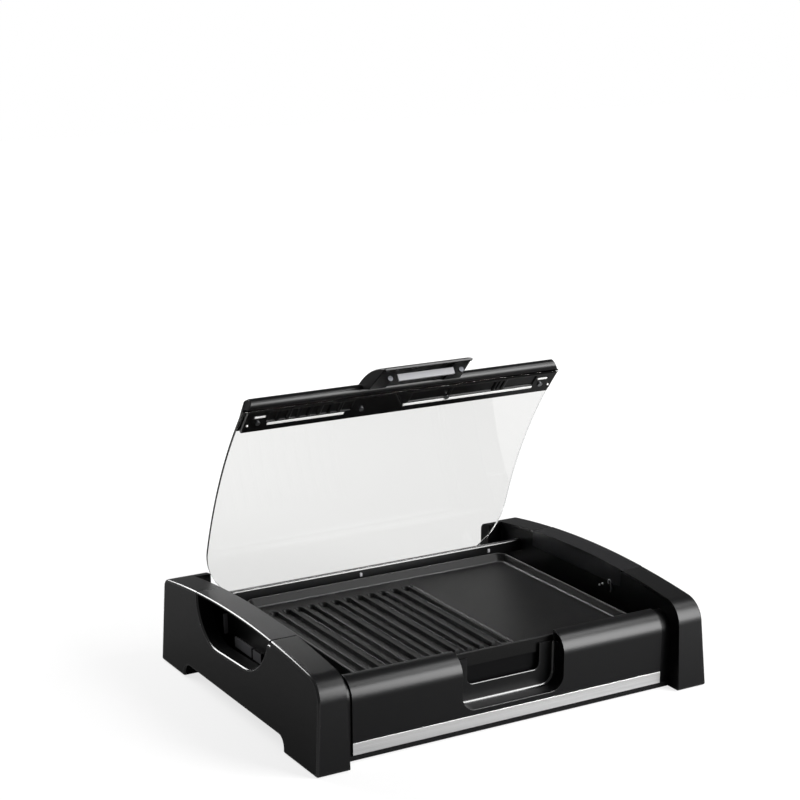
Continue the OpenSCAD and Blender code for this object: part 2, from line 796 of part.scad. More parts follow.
// Channel on the rear edge of the glass, between the hinge arms
module lid_rear_clamp() {
    z0 = glass_z(glass_back) - 9.5;
    h = 16;
    r = 2.5;
    color(black) lid_pose() difference() {
        along_x(-arm_x, arm_x) {
            translate([clamp_y, z0 + r]) square([clamp_d, h - 2 * r]);
            translate([clamp_y + r, z0]) square([clamp_d - 2 * r, h]);
            for (y = [r, clamp_d - r], z = [r, h - r]) translate([clamp_y + y, z0 + z]) circle(r);
        }
        along_x(-arm_x - 1, arm_x + 1)
            lid_band(glass_r - 0.02, glass_r + glass_t + 0.02, clamp_y - 5, glass_back + 0.1);
    }
}

// Arm from the end of the clamp down to the eye on its pin
module hinge_arm() {
    top = glass_z(glass_back) + 5;
    lid_pose() difference() {
        union() {
            rod_x(arm_x, arm_x + arm_t, hinge_y, hinge_z, eye_r);
            along_x(arm_x, arm_x + arm_t) polygon([[hinge_y - eye_r, hinge_z], [hinge_y - 2, hinge_z + 14],
                [clamp_y + 0.2, hinge_z + 20], [clamp_y + 0.2, top], [clamp_y + clamp_d, top],
                [clamp_y + clamp_d, hinge_z + 20], [hinge_y + eye_r, hinge_z]]);
        }
        rod_x(arm_x - 1, arm_x + arm_t + 1, hinge_y, hinge_z, pin_r + run_fit);
    }
}
module left_hinge_arm() { color("#8b8c8e") mirror([1, 0, 0]) hinge_arm(); }
module right_hinge_arm() { color("#8b8c8e") hinge_arm(); }

// Screws that hold the retainer to the frame
module lid_screws() {
    color(steel) lid_pose() at_lid_screws() translate([0, 0, -0.05]) rotate([180, 0, 0])
        screw(retainer_t - 0.2);
}

// Screws through the arms into the ends of the clamp
module clamp_screws() {
    color(steel) lid_pose() mirrored()
        translate([arm_x + arm_t, clamp_y + clamp_d / 2, glass_z(glass_back) - 4.8])
            rotate([0, 90, 0]) cylinder(h = 1.6, r = 3);
}

left_side_housing();
right_side_housing();
left_grip();
right_grip();
left_inner_wall();
right_inner_wall();
foot_pads();
housing_screws();
base_tray();
front_panel();
trim_strip();
recess_wall();
rear_wall();
rear_rail();
rail_studs();
rear_cover();
control_socket();
terminal_pins();
pan_supports();
heat_reflector();
drip_tray();
heating_element();
element_clips();
grill_plate();
left_hinge_pin();
right_hinge_pin();
lid_glass();
lid_front_frame();
lid_retainer();
lid_trim_line();
lid_handle();
handle_bar();
handle_screws();
lid_rear_clamp();
left_hinge_arm();
right_hinge_arm();
lid_screws();
clamp_screws();
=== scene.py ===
"""An electric indoor grill with a hinged glass lid, dressed piece by piece over its CAD solids."""

import math

import bmesh
import bpy
from mathutils import Matrix, Vector


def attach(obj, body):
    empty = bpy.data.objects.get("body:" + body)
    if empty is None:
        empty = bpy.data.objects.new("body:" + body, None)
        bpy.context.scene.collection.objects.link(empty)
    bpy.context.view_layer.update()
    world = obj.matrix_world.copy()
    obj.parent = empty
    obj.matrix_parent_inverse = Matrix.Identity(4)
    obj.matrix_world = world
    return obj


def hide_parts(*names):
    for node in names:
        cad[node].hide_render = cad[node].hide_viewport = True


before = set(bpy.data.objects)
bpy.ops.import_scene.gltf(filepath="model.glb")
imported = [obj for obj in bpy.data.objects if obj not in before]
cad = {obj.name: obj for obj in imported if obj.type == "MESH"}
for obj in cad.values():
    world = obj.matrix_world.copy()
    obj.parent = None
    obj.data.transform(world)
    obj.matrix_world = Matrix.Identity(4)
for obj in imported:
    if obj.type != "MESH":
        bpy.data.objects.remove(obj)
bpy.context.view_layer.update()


# Side housings: injection-moulded black shells, one at each end, screwed to the base. The
# outer side leans in, the crest is a long arch, and a polished bead runs round every edge.
# Sizes are in millimetres; x runs along the grill, y from front to rear and z up.
MM = 0.001
HALF_W = 270
HALF_D = 210
INNER_X = 228
SOLE_Z = 1
CREST_Z = 123
ARCH_R = 1388
ARCH_Z = CREST_Z - ARCH_R
SIDE_LEAN = math.tan(math.radians(4.3))
FRONT_LEAN = 3.8
FRONT_R = 30
REAR_R = 10
FRONT_RUN = 8
REAR_RUN = 4
SHELL_T = 2.8
COLLAR = 19
EDGE_BEAD = 2.8
GRIP_Y = (-84, 113.5)
LEDGE_Z = 113.8
BEAD = 1  # the place of a piece's polished finish, after its plain one
OPENING_FRONT = ((-18, 126), 59.6, 191.8, 268)
OPENING_REAR = ((52, 128), 64.2, 270, 338)
FOOT_GAP_Y = (-128, 142)
FOOT_GAP_Z = 18
FOOT_GAP_R = 14


def side_x(z):
    """Outer side of a housing at height z."""
    return HALF_W - SIDE_LEAN * (z - SOLE_Z)


def crest(y):
    """Height of the arched crest at y."""
    return ARCH_Z + math.sqrt(ARCH_R**2 - y * y)


def arc(centre, r, start, end, steps):
    """Points on an arc in the [y, z] plane, its angles in degrees."""
    turn = [math.radians(start + (end - start) * i / steps) for i in range(steps + 1)]
    return [(centre[0] + r * math.cos(a), centre[1] + r * math.sin(a)) for a in turn]


def corner_centre(p, along, inward, r):
    """Centre of a round corner between the arched crest and the line that runs along from p."""
    p, along, inward = Vector(p), Vector(along), Vector(inward)
    q = p + r * inward - Vector((0, ARCH_Z))
    b = q.dot(along)
    return p + r * inward + (math.sqrt(b * b - q.dot(q) + (ARCH_R - r) ** 2) - b) * along


def crest_angle(centre):
    """Angle, in degrees, at which the arc of a round corner runs into the crest."""
    return math.degrees(math.atan2(centre[1] - ARCH_Z, centre[0]))


def crest_run(y0, y1, steps):
    """Points along the crest from y0 to y1."""
    return [(y, crest(y)) for y in (y0 + (y1 - y0) * i / steps for i in range(steps + 1))]


def piece(bm, name, finishes, slot, body, nodes, smooth=34):
    """Makes a mesh in millimetres a piece that rides on a body and stands for CAD nodes."""
    bmesh.ops.recalc_face_normals(bm, faces=bm.faces[:])
    bm.transform(Matrix.Scale(MM, 4))
    mesh = bpy.data.meshes.new(name)
    bm.to_mesh(mesh)
    bm.free()
    for finish in finishes:
        mesh.materials.append(finish)
    mesh.polygons.foreach_set("use_smooth", [True] * len(mesh.polygons))
    mesh.set_sharp_from_angle(angle=math.radians(smooth))
    obj = bpy.data.objects.new(name, mesh)
    bpy.context.scene.collection.objects.link(obj)
    obj.modifiers.new("flat faces stay flat", "WEIGHTED_NORMAL").keep_sharp = True
    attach(obj, body)
    if nodes:
        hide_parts(*nodes)
    return obj


def edges_sharper(bm, degrees):
    """Edges between two faces that turn by more than an angle."""
    limit = math.radians(degrees)
    return [e for e in bm.edges if len(e.link_faces) == 2 and e.calc_face_angle(0) > limit]


def round_edges(bm, edges, radius, steps=3, finish=0):
    """Rounds edges to a radius and gives the new faces one of the piece's finishes."""
    made = bmesh.ops.bevel(bm, geom=edges, offset=radius, offset_type="OFFSET", segments=steps,
                           profile=0.5, affect="EDGES", clamp_overlap=True, material=-1)
    for f in made["faces"]:
        f.material_index = finish


def add(material, kind, inputs=None, **settings):
    """Adds a shader node with its settings; an input is a value or the socket that feeds it."""
    made = material.node_tree.nodes.new(kind)
    for key, value in settings.items():
        setattr(made, key, value)
    for key, value in (inputs or {}).items():
        if isinstance(value, bpy.types.NodeSocket):
            material.node_tree.links.new(value, made.inputs[key])
        else:
            made.inputs[key].default_value = value
    return made


def colour(code):
    """A linear colour from its sRGB hex code."""
    parts = [int(code[i : i + 2], 16) / 255 for i in (1, 3, 5)]
    return [c / 12.92 if c <= 0.04045 else ((c + 0.055) / 1.055) ** 2.4 for c in parts] + [1]


def blank(name):
    """An empty node material and its output."""
    made = bpy.data.materials.new(name)
    made.use_nodes = True
    made.node_tree.nodes.clear()
    return made, add(made, "ShaderNodeOutputMaterial")


def moulded(name, tone, rough, grain, depth, gloss=0.32):
    """Moulded plastic: the fine grain of its spark-eroded mould breaks up the gloss."""
    made, out = blank(name)
    place = add(made, "ShaderNodeTexCoord").outputs["Object"]
    noise = add(made, "ShaderNodeTexNoise", {"Vector": place, "Scale": 1 / (grain * MM), "Detail": 2})
    bump = add(made, "ShaderNodeBump", {"Height": noise.outputs["Fac"], "Strength": depth,
                                        "Distance": 0.2 * MM})
    shader = add(made, "ShaderNodeBsdfPrincipled", {
        "Base Color": colour(tone), "Roughness": rough, "Specular IOR Level": gloss,
        "Normal": bump.outputs["Normal"]})
    made.node_tree.links.new(shader.outputs["BSDF"], out.inputs["Surface"])
    return made


# Phenolic with a satin grain: nearly black, with broad soft highlights. Its edge beads are
# polished, so that they draw thin bright lines.
housing_black = moulded("satin black moulded plastic", "#080809", 0.33, 0.6, 0.08)
bead_black = moulded("polished bead of the black plastic", "#080809", 0.2, 0.6, 0.08, gloss=0.9)

lean = math.radians(FRONT_LEAN)
front_centre = corner_centre((-HALF_D, SOLE_Z), (math.sin(lean), math.cos(lean)),
                             (math.cos(lean), -math.sin(lean)), FRONT_R)
rear_centre = corner_centre((HALF_D, 0), (0, 1), (-1, 0), REAR_R)
front_end = crest_angle(front_centre)
rear_end = crest_angle(rear_centre)
front_y = ARCH_R * math.cos(math.radians(front_end)) + FRONT_RUN
rear_y = ARCH_R * math.cos(math.radians(rear_end)) - REAR_RUN
front_rim = [(-HALF_D, SOLE_Z)] + arc(front_centre, FRONT_R, 180 - FRONT_LEAN, front_end, 18)
front_rim += crest_run(front_y, GRIP_Y[0], 6) + [(GRIP_Y[0], LEDGE_Z)]
opening = arc(*OPENING_FRONT, 18) + arc(*OPENING_REAR, 18)
rear_rim = [(GRIP_Y[1], LEDGE_Z)] + crest_run(GRIP_Y[1], rear_y, 6)
rear_rim += arc(rear_centre, REAR_R, rear_end, 0, 12) + [(HALF_D, SOLE_Z), (FOOT_GAP_Y[1], SOLE_Z)]
gap_z = FOOT_GAP_Z - FOOT_GAP_R
rear_rim += arc((FOOT_GAP_Y[1] - FOOT_GAP_R, gap_z), FOOT_GAP_R, 0, 90, 8)
rear_rim += arc((FOOT_GAP_Y[0] + FOOT_GAP_R, gap_z), FOOT_GAP_R, 90, 180, 8)
rear_rim.append((FOOT_GAP_Y[0], SOLE_Z))
loop = front_rim + opening + rear_rim

for side, name in ((-1, "left"), (1, "right")):
    bm = bmesh.new()
    outer = [bm.verts.new((side * side_x(z), y, z)) for y, z in loop]
    outer_side = bm.faces.new(outer)
    inner = []
    for i, (y, z) in enumerate(loop):
        in_opening = len(front_rim) <= i < len(front_rim) + len(opening)
        depth_x = side_x(z) - COLLAR if in_opening else INNER_X
        inner.append(bm.verts.new((side * depth_x, y, z)))
    for i in range(len(loop)):
        j = (i + 1) % len(loop)
        bm.faces.new((outer[i], inner[i], inner[j], outer[j]))
    bm.normal_update()
    bmesh.ops.recalc_face_normals(bm, faces=bm.faces[:])
    if outer_side.normal.x * side < 0:
        bmesh.ops.reverse_faces(bm, faces=bm.faces[:])
    round_edges(bm, edges_sharper(bm, 35), EDGE_BEAD, 4, BEAD)
    bmesh.ops.solidify(bm, geom=bm.faces[:], thickness=SHELL_T)
    piece(bm, f"{name}_housing_shell", [housing_black, bead_black], "housing_plastic", "base",
          [f"{name}_side_housing"])


# Hand grips: moulded in a greyer, drier plastic, set into the crest over each hand opening. A
# thin skin carries on the arch; under it a flange and a core take the weight.
GRIP_T = 4
GRIP_LIP = 2.4
LIP_IN = 5
FLANGE_LOW = 97.9
FLANGE_T = 2.6
CORE_X = (236, 243)
CORE_Y = (-69.3, 98.7)
CORE_Z = (109.5, 117.5)
SEAM = 0.3
GRIP_BEAD = 2.1

# Greyer than the shell and more deeply grained, so that the grip reads a shade lighter.
grip_grey = moulded("dry dark grey grip plastic", "#161618", 0.36, 0.5, 0.14, gloss=0.4)
bead_grey = moulded("polished bead of the grip", "#161618", 0.2, 0.5, 0.14, gloss=0.9)


def loft(bm, sections, closed=True):
    """Skins a run of equal sections; a closed run of a section gets flat ends."""
    rings = [[bm.verts.new(p) for p in section] for section in sections]
    count = len(rings[0])
    for a, b in zip(rings, rings[1:]):
        for i in range(count if closed else count - 1):
            j = (i + 1) % count
            bm.faces.new((a[i], a[j], b[j], b[i]))
    if closed:
        bm.faces.new(rings[0])
        bm.faces.new(rings[-1])
    return rings


def block(bm, x, y, z, bevel, steps=2, finish=0):
    """A block between three pairs of limits, its edges rounded."""
    middle = Matrix.Translation([sum(v) / 2 for v in (x, y, z)])
    spans = (x[1] - x[0], y[1] - y[0], z[1] - z[0], 1)
    made = bmesh.ops.create_cube(bm, size=1, matrix=middle @ Matrix.Diagonal(spans))
    bmesh.ops.recalc_face_normals(bm, faces=bm.faces[:])
    round_edges(bm, list({e for v in made["verts"] for e in v.link_edges}), bevel, steps, finish)


def on_outer_edge(v):
    """Whether a vertex lies where the grip's top meets its outer side."""
    return v.co.z > crest(v.co.y) - 0.01 and abs(v.co.x) > side_x(v.co.z) - 0.01


for side, name in ((-1, "left"), (1, "right")):
    bm = bmesh.new()
    sections = []
    for y, top in crest_run(GRIP_Y[0] + SEAM, GRIP_Y[1] - SEAM, 24):
        low = top - GRIP_T
        sections.append([(side * x, y, z) for x, z in (
            (INNER_X, FLANGE_LOW), (INNER_X + FLANGE_T, FLANGE_LOW), (INNER_X + FLANGE_T, low),
            (side_x(low) - LIP_IN, low), (side_x(top - GRIP_LIP), top - GRIP_LIP),
            (side_x(top), top), (INNER_X, top))])
    loft(bm, sections)
    bmesh.ops.recalc_face_normals(bm, faces=bm.faces[:])
    outer_edge = [e for e in edges_sharper(bm, 40) if all(on_outer_edge(v) for v in e.verts)]
    round_edges(bm, outer_edge, GRIP_BEAD, 4, BEAD)
    block(bm, sorted(side * x for x in CORE_X), CORE_Y, CORE_Z, 1, 3, BEAD)
    piece(bm, f"{name}_hand_grip", [grip_grey, bead_grey], "grip_plastic", "base",
          [f"{name}_grip"])


# Inner walls: flat moulded plates that close the housings towards the plate, each with its
# rear ear and the boss of the hinge pin. Matt plastic throws back little light, so that the
# wells beside the plate look nearly black.
wall_black = moulded("matt black inner wall plastic", "#050506", 0.42, 0.8, 0.10, gloss=0.15)


def finish_nodes(material, *names):
    """Gives carried-over CAD nodes their finish."""
    for name in names:
        cad[name].data.materials[0] = material


finish_nodes(wall_black, "left_inner_wall", "right_inner_wall")


# Grip brackets: blocks on the inner wall behind each hand opening, with a web beside them. Their
# mid grey is a painted highlight for the glint of the bosses seen through the opening, pale patches in
# the dark.
PAD_X = (230.6, 233.9)
PAD_Y = ((22, 68), (-3, 19))
PAD_Z = (57.5, 70.5)
WEB_X = (230.6, 235.9)
WEB_Y = (92, 94.4)
WEB_Z = (66, 92)
PAD_R = 0.8

# Painted highlight: this mid grey stands for the glint on the bosses inside the hand opening.
painted_highlight_grey = moulded("mid grey painted highlight on the brackets", "#6b6b6e", 0.45, 0.6, 0.1)
for side, name in ((-1, "left"), (1, "right")):
    bm = bmesh.new()
    for y in PAD_Y:
        block(bm, sorted(side * x for x in PAD_X), y, PAD_Z, PAD_R)
    block(bm, sorted(side * x for x in WEB_X), WEB_Y, WEB_Z, PAD_R)
    piece(bm, f"{name}_grip_brackets", [painted_highlight_grey], "grey_plastic", "base", [])


# Plate catches: a hook of spring-steel wire and two rivets on each inner wall, which hold the
# plate down by its rim. The drawn wire gives small sharp glints.
WIRE_R = 0.8
WIRE_SIDES = 10
CATCH_X = 226.6
CATCH = arc((-63, 98.5), 3, -70, 215, 9) + [(-67.5, 91), (-66, 86)]
RIVETS = ((-48, 91.5), (-41, 88))
RIVET_R = 1.5


def plain_metal(name, tone, rough):
    """Metal of one colour and an even finish."""
    made, out = blank(name)
    shader = add(made, "ShaderNodeBsdfPrincipled", {
        "Base Color": colour(tone), "Roughness": rough, "Metallic": 1})
    made.node_tree.links.new(shader.outputs["BSDF"], out.inputs["Surface"])
    return made


spring = plain_metal("bright spring-steel wire", "#b9babd", 0.3)
for side, name in ((-1, "left"), (1, "right")):
    bm = bmesh.new()
    rings = []
    for i, (y, z) in enumerate(CATCH):
        last, following = CATCH[max(i - 1, 0)], CATCH[min(i + 1, len(CATCH) - 1)]
        along = (Vector(following) - Vector(last)).normalized()
        ring = []
        for k in range(WIRE_SIDES):
            a = math.tau * k / WIRE_SIDES
            across = WIRE_R * math.sin(a)
            ring.append((side * (CATCH_X + WIRE_R * math.cos(a)), y - along.y * across,
                         z + along.x * across))
        rings.append(ring)
    loft(bm, rings)
    for y, z in RIVETS:
        bmesh.ops.create_uvsphere(bm, u_segments=12, v_segments=8, radius=RIVET_R,
                                  matrix=Matrix.Translation((side * (INNER_X - 0.4), y, z)))
    piece(bm, f"{name}_plate_catch", [spring], "screws", "base", [], smooth=60)


# Front panel: one moulding with a flat face, a round top and a finger cut-out in the middle.
# Its ends are set back a little, and a soft bevel runs round the cut-out.
PANEL_Y = -190
PANEL_BACK = -165
PANEL_LOW = 8
PANEL_X = 214
ROUND_R = 25
SHOULDER_Z = 72
CUT_HALF = 70
CUT_LOW = 29.5
CUT_R = 18
CUT_BEAD = 1.3
PANEL_T = 3
CHEEK_BACK = 2.6
CHEEK_LAP = 1.8
FLANGE_Z = 84


def u_path(half, low, top, r, steps=8):
    """[x, z] points down one side of a U, round its foot and up the other side."""
    right = arc((half - r, low + r), r, 0, -90, steps)
    left = arc((-half + r, low + r), r, -90, -180, steps)
    return [(half, top)] + right + left + [(-half, top)]


bm = bmesh.new()
cut = u_path(CUT_HALF, CUT_LOW, SHOULDER_Z, CUT_R)
outline = [(-PANEL_X, PANEL_LOW), (PANEL_X, PANEL_LOW), (PANEL_X, SHOULDER_Z)] + cut
outline.append((-PANEL_X, SHOULDER_Z))
face = bm.faces.new([bm.verts.new((x, PANEL_Y, z)) for x, z in outline])
top_run = arc((PANEL_BACK, SHOULDER_Z), ROUND_R, 180, 90, 14) + [(PANEL_BACK, FLANGE_Z)]
for x0, x1 in ((-PANEL_X, -CUT_HALF), (CUT_HALF, PANEL_X)):
    loft(bm, [[(x, y, z) for y, z in top_run] for x in (x0, x1)], closed=False)
bmesh.ops.remove_doubles(bm, verts=bm.verts[:], dist=0.001)
bmesh.ops.recalc_face_normals(bm, faces=bm.faces[:])
if face.normal.y > 0:
    bmesh.ops.reverse_faces(bm, faces=bm.faces[:])
bmesh.ops.solidify(bm, geom=bm.faces[:], thickness=PANEL_T)
bmesh.ops.recalc_face_normals(bm, faces=bm.faces[:])
in_front = [e for e in edges_sharper(bm, 50) if max(v.co.y for v in e.verts) < PANEL_BACK + 1]
round_edges(bm, in_front, CUT_BEAD, finish=BEAD)
for side in (-1, 1):
    cheek = arc((PANEL_BACK, SHOULDER_Z), ROUND_R - CHEEK_BACK, 180, 90, 14)
    cheek = [(PANEL_Y + CHEEK_BACK, PANEL_LOW)] + cheek + [(PANEL_BACK, PANEL_LOW)]
    loft(bm, [[(side * x, y, z) for y, z in cheek] for x in (PANEL_X - CHEEK_LAP, INNER_X)])
piece(bm, "front_panel_moulding", [housing_black, bead_black], "housing_plastic", "base",
      ["front_panel"])


# Trim strip: brushed stainless steel, snapped into the foot of the panel. Its grain runs
# lengthwise, so it catches the light as fine streaks along the grill.
STRIP_X = PANEL_X - 0.2
STRIP_Y = (PANEL_Y - 0.2, PANEL_Y + 0.8)
STRIP_Z = (8.1, 22.9)
STRIP_R = 0.35
GRAIN_PER_MM = (0.003, 1.5, 4)

brushed, out = blank("brushed stainless steel, grain lengthwise")
place = add(brushed, "ShaderNodeTexCoord").outputs["Object"]
drawn = add(brushed, "ShaderNodeMapping", {
    "Vector": place, "Scale": [lines / MM for lines in GRAIN_PER_MM]})
grain = add(brushed, "ShaderNodeTexNoise", {"Vector": drawn.outputs["Vector"], "Scale": 1, "Detail": 3})
sheen = add(brushed, "ShaderNodeMapRange", {"Value": grain.outputs["Fac"], "From Min": 0.3,
                                            "From Max": 0.7, "To Min": 0.30, "To Max": 0.46})
tint = add(brushed, "ShaderNodeMapRange", {"Value": grain.outputs["Fac"], "From Min": 0.25,
                                           "From Max": 0.75, "To Min": colour("#ececec")[0],
                                           "To Max": colour("#ffffff")[0]})
metal = add(brushed, "ShaderNodeBsdfPrincipled", {
    "Base Color": tint.outputs["Result"], "Roughness": sheen.outputs["Result"], "Metallic": 1})
brushed.node_tree.links.new(metal.outputs["BSDF"], out.inputs["Surface"])

bm = bmesh.new()
block(bm, (-STRIP_X, STRIP_X), STRIP_Y, STRIP_Z, STRIP_R)
piece(bm, "brushed_strip", [brushed], "brushed_trim", "base", ["trim_strip"])


# Finger recess: a scoop moulded behind the cut-out. Its back wall has a U notch that leaves
# room for the fingertips under the lid's handle.
RECESS_Y = (-186.6, -167.6)
NOTCH_HALF = 50
NOTCH_LOW = 52
NOTCH_R = 8
NOTCH_BEAD = 1
SCOOP_R = 3
RECESS_T = 2.2

bm = bmesh.new()
back = u_path(CUT_HALF, CUT_LOW, FLANGE_Z, CUT_R)
notch = u_path(NOTCH_HALF, NOTCH_LOW, FLANGE_Z, NOTCH_R)
wall = bm.faces.new([bm.verts.new((x, RECESS_Y[1], z)) for x, z in back + notch[::-1]])
floor = [[bm.verts.new((x, y, z)) for x, z in back] for y in RECESS_Y]
for i in range(len(back) - 1):
    bm.faces.new((floor[0][i], floor[0][i + 1], floor[1][i + 1], floor[1][i]))
bmesh.ops.remove_doubles(bm, verts=bm.verts[:], dist=0.001)
bmesh.ops.recalc_face_normals(bm, faces=bm.faces[:])
if wall.normal.y > 0:
    bmesh.ops.reverse_faces(bm, faces=bm.faces[:])
round_edges(bm, edges_sharper(bm, 60), SCOOP_R, 4, BEAD)
bmesh.ops.solidify(bm, geom=bm.faces[:], thickness=RECESS_T)
bmesh.ops.recalc_face_normals(bm, faces=bm.faces[:])


def on_notch_edge(v):
    """Whether a vertex lies on the front edge of the notch."""
    return (abs(v.co.x) < NOTCH_HALF + 0.01 and v.co.y < RECESS_Y[1] + 0.01
            and CUT_LOW + SCOOP_R + 1 < v.co.z < FLANGE_Z + 0.01)


notch_edge = [e for e in edges_sharper(bm, 60) if all(on_notch_edge(v) for v in e.verts)]
round_edges(bm, notch_edge, NOTCH_BEAD, finish=BEAD)
piece(bm, "finger_recess", [housing_black, bead_black], "housing_plastic", "base",
      ["recess_wall"])


# Grill plate: one aluminium casting with a matt non-stick coat. Rounded ribs stand between
# grooves that run down to a trough at the front; the right part is flat behind a divider.
PLATE_X = 191
PLATE_Y = (-163, 131)
PLATE_R = 14
PLATE_LOW = 73
COOK_Z = 80
RIM_Z = 90
FRONT_RIM_Z = 84
FRONT_RIM_HALF = 174
FIELD_X = (-184.5, 184.5)
FIELD_Y = (-156, 121)
RIB_X = -175.5
RIB_PITCH = 17
RIB_COUNT = 12
RIB_ROUND = 1.9
GROOVE_W = 10
GROOVE_D = 5
GROOVE_Y = (-131, 93)
TROUGH_X = (-179.5, 15.5)
TROUGH_Y = (-147, -128)
TROUGH_ROUND = 1.5
DIVIDER_X = (29, 33)
DIVIDER_D = 0.45
DRAIN = (-165.5, -139)
DRAIN_R = 5
DRAIN_D = 3
SPECKS_PER_MM = 1.4


def plate_loop(inset, y_in, steps=8):
    """[x, y] loop of the plate's outline, drawn in by an inset and by one at the rear."""
    hx = PLATE_X - inset
    y0, y1 = PLATE_Y[0] + inset, PLATE_Y[1] - y_in
    r = max(PLATE_R - inset, 2)
    return (arc((hx - r, y1 - r), r, 0, 90, steps) + arc((-hx + r, y1 - r), r, 90, 180, steps)
            + arc((-hx + r, y0 + r), r, 180, 270, steps) + arc((hx - r, y0 + r), r, 270, 360, steps))


def ease(t):
    """A smooth step from 0 to 1."""
    t = min(1, max(0, t))
    return t * t * (3 - 2 * t)


def rim_top(x, y, z):
    """Lowers the part of the rim above the cooking face along the front."""
    low = ease((FRONT_RIM_HALF - abs(x)) / 8) * ease((PLATE_Y[0] + 16 - y) / 6)
    keep = 1 - low * (RIM_Z - FRONT_RIM_Z) / (RIM_Z - COOK_Z)
    return z if z <= COOK_Z else COOK_Z + (z - COOK_Z) * keep


def cook_face(x, y):
    """Height of the cooking face: grooves, their trough, the divider and the drain."""
    depth = 0
    for i in range(RIB_COUNT):
        groove_x = RIB_X + (i + 0.5) * RIB_PITCH
        reach = math.hypot(x - groove_x, max(0, y - GROOVE_Y[1]))
        if y > GROOVE_Y[0] - 4:
            depth = max(depth, ease((GROOVE_W / 2 + RIB_ROUND / 2 - reach) / RIB_ROUND))
    inside = min(x - TROUGH_X[0], TROUGH_X[1] - x, y - TROUGH_Y[0], TROUGH_Y[1] - y)
    depth = max(depth, ease((inside + TROUGH_ROUND / 2) / TROUGH_ROUND))
    inside = min(x - DIVIDER_X[0], DIVIDER_X[1] - x)
    divider = ease((inside + 1) / 2) * ease((GROOVE_Y[1] + 8 - y) / 6)
    depth = max(depth, DIVIDER_D * divider)
    from_drain = math.hypot(x - DRAIN[0], y - DRAIN[1])
    return COOK_Z - GROOVE_D * depth - DRAIN_D * ease((DRAIN_R + 0.6 - from_drain) / 1.2)


def steps_between(marks):
    """Coordinates at even steps between marks: a list of (start, end, step)."""
    made = []
    for start, end, step in marks:
        n = max(1, round((end - start) / step))
        made += [start + (end - start) * i / n for i in range(n)]
    return made + [marks[-1][1]]


# Section of the rim, from its outer foot over its rounded top and down the inside: the inset at
# the sides, the inset at the rear, the height, and 1 where the next band is worn smooth.
RIM = ((0, 0, PLATE_LOW, 0), (0, 0, RIM_Z - 0.8, 0), (0.25, 0.25, RIM_Z - 0.25, 0),
       (0.8, 0.8, RIM_Z, 1), (1.9, 1.9, RIM_Z, 1), (2.4, 2.4, RIM_Z - 0.3, 0),
       (2.7, 2.8, RIM_Z - 1, 0), (5.4, 7.2, COOK_Z + 2.2, 0), (5.9, 7.9, COOK_Z + 1, 1),
       (6.8, 8.9, COOK_Z + 0.25, 1), (8.4, 10.4, COOK_Z - 0.02, 0), (8.4, 10.4, PLATE_LOW, 0))

bm = bmesh.new()
rings = [[bm.verts.new((x, y, rim_top(x, y, z))) for x, y in plate_loop(inset, rear)]
         for inset, rear, z, _ in RIM]
for (*_, worn), a, b in zip(RIM, rings, rings[1:] + rings[:1]):
    for i in range(len(a)):
        j = (i + 1) % len(a)
        bm.faces.new((a[i], a[j], b[j], b[i])).material_index = BEAD if worn else 0
# The steps are fine where the face is shaped and long where it is plain.
xs = steps_between([(FIELD_X[0], -181, 1.5), (-181, 35, 0.75), (35, FIELD_X[1], 15)])
ys = steps_between([(FIELD_Y[0], -149, 1.5), (-149, -127, 0.8), (-127, 86, 8), (86, 100, 0.8),
                    (100, FIELD_Y[1], 7)])
grid = [[bm.verts.new((x, y, cook_face(x, y))) for x in xs] for y in ys]
for row, above in zip(grid, grid[1:]):
    for i in range(len(xs) - 1):
        bm.faces.new((row[i], row[i + 1], above[i + 1], above[i]))
low = [[bm.verts.new((x, y, PLATE_LOW)) for x in (xs[0], xs[-1])] for y in (ys[0], ys[-1])]
bm.faces.new((low[0][0], low[1][0], low[1][1], low[0][1]))
bm.faces.new([row[0] for row in grid] + [low[1][0], low[0][0]])
bm.faces.new([row[-1] for row in grid] + [low[1][1], low[0][1]])
bm.faces.new(grid[0] + [low[0][1], low[0][0]])
bm.faces.new(grid[-1] + [low[1][1], low[1][0]])


def non_stick(name, gloss):
    """Non-stick coat on cast aluminium: its fine tooth scatters light and looks dull and dark."""
    made, out = blank(name)
    place = add(made, "ShaderNodeTexCoord").outputs["Object"]
    speck = add(made, "ShaderNodeTexNoise", {
        "Vector": place, "Scale": SPECKS_PER_MM / MM, "Detail": 3})
    mottle = add(made, "ShaderNodeMapRange", {
        "Value": speck.outputs["Fac"], "From Min": 0.3, "From Max": 0.7,
        "To Min": colour("#0a0a0a")[0], "To Max": colour("#121212")[0]})
    bump = add(made, "ShaderNodeBump", {"Height": speck.outputs["Fac"], "Strength": 0.25,
                                        "Distance": 0.2 * MM})
    shader = add(made, "ShaderNodeBsdfPrincipled", {
        "Base Color": mottle.outputs["Result"], "Roughness": 0.42, "Specular IOR Level": gloss,
        "Normal": bump.outputs["Normal"]})
    made.node_tree.links.new(shader.outputs["BSDF"], out.inputs["Surface"])
    return made


# Where the rim is worn smooth, it draws thin pale lines.
coated = non_stick("matt non-stick coat", 0.13)
worn_coat = non_stick("non-stick coat worn smooth", 0.7)
piece(bm, "ribbed_grill_plate", [coated, worn_coat], "coated_plate", "base", ["grill_plate"],
      smooth=50)


# Rear rail: a square-edged moulded bar across the deck with a polished top edge. It screws
# down between the housings, and the open lid leans behind it.
RAIL_Y = (139.5, 147)
RAIL_Z = (84, 99.5)
RAIL_BEAD = 2.6

